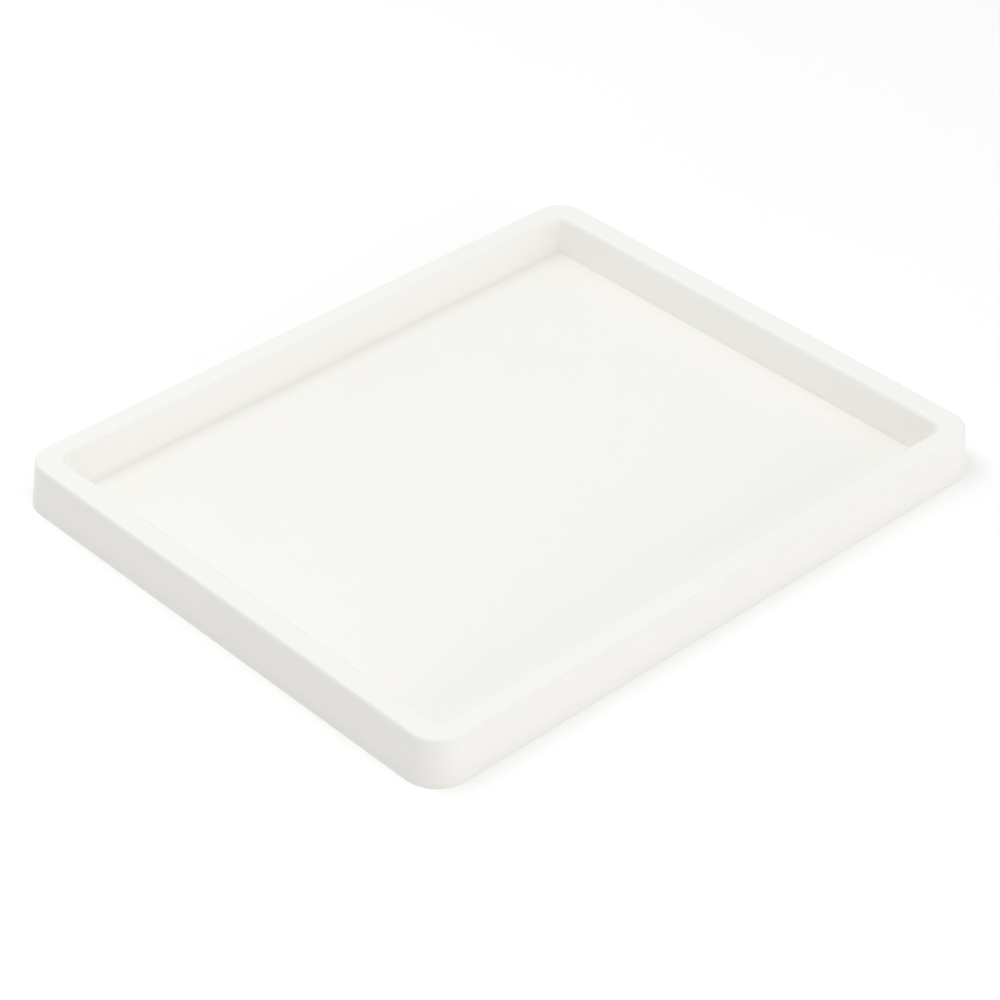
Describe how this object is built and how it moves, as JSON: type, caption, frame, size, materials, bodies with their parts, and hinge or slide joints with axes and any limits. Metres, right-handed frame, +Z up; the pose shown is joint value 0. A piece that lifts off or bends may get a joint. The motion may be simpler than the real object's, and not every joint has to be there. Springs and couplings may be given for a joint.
{
  "type": "paint roller tray",
  "caption": "Shallow rectangular plastic tray with a flat floor and a broad raised rim, for rolling out paint or ink with a small roller or brayer.",
  "frame": {"origin": "on the table the tray stands on, under the middle of the tray", "axes": "+X along the long sides to the right, +Y along the short sides to the rear, +Z up"},
  "size_m": [0.28, 0.2276, 0.0188],
  "materials": {
    "tray_plastic": "smooth satin, warm off-white",
    "foot_rubber": "matte, fine grain, mid grey"
  },
  "bodies": {
    "root": {"tray_body": "tray_plastic", "foot_front_left": "foot_rubber", "foot_front_right": "foot_rubber", "foot_rear_left": "foot_rubber", "foot_rear_right": "foot_rubber"}
  },
  "joints": []
}
